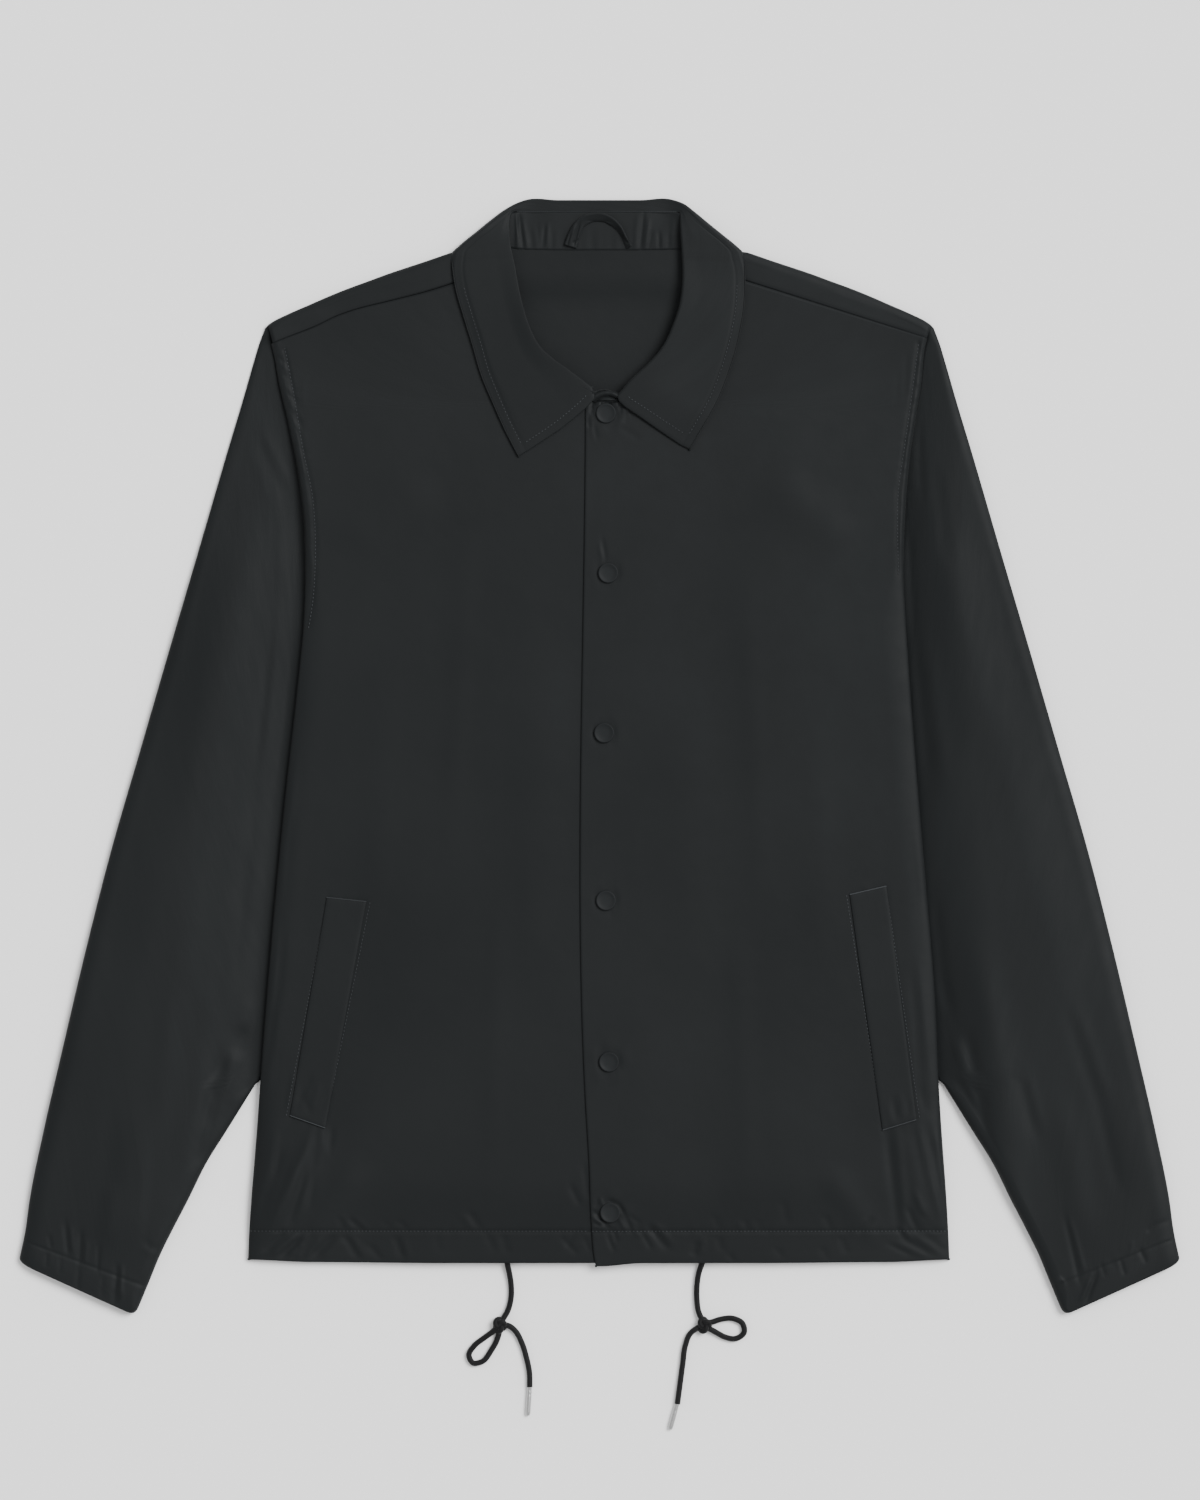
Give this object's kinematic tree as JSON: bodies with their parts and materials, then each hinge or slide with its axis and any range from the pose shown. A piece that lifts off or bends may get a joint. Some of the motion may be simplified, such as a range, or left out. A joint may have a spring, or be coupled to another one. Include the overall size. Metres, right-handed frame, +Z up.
{
  "type": "coach jacket",
  "caption": "Light coach jacket laid flat on its back: turned-down collar, closed snap front, slanted welt pockets, set-in sleeves with gathered cuffs and a drawcord hem",
  "frame": {"origin": "on the surface that the jacket rests on, in the middle of its outline without the drawcord ends", "axes": "+Y points to the collar, +X to the wearer's left, +Z up from the surface and out of the jacket's front"},
  "size_m": [0.8126, 0.8605, 0.0167],
  "materials": {
    "cloth": "matt to slightly silky woven nylon",
    "cord": "matt braid",
    "snap": "satin lacquered cap",
    "metal": "satin nickel"
  },
  "bodies": {
    "root": {"back": "cloth", "front_right": "cloth", "front_left": "cloth", "sleeve_right": "cloth", "sleeve_left": "cloth", "collar_stand": "cloth", "collar_leaf": "cloth", "hanger_loop": "cloth", "pocket_welt_right": "cloth", "pocket_welt_left": "cloth", "snap_1": "snap", "snap_2": "snap", "snap_3": "snap", "snap_4": "snap", "snap_5": "snap", "snap_6": "snap", "cord_right_hem": "cord", "cord_right_loop": "cord", "cord_right_tail": "cord", "cord_right_knot": "cord", "cord_right_aglet": "metal", "cord_left_hem": "cord", "cord_left_loop": "cord", "cord_left_tail": "cord", "cord_left_knot": "cord", "cord_left_aglet": "metal"}
  },
  "joints": []
}
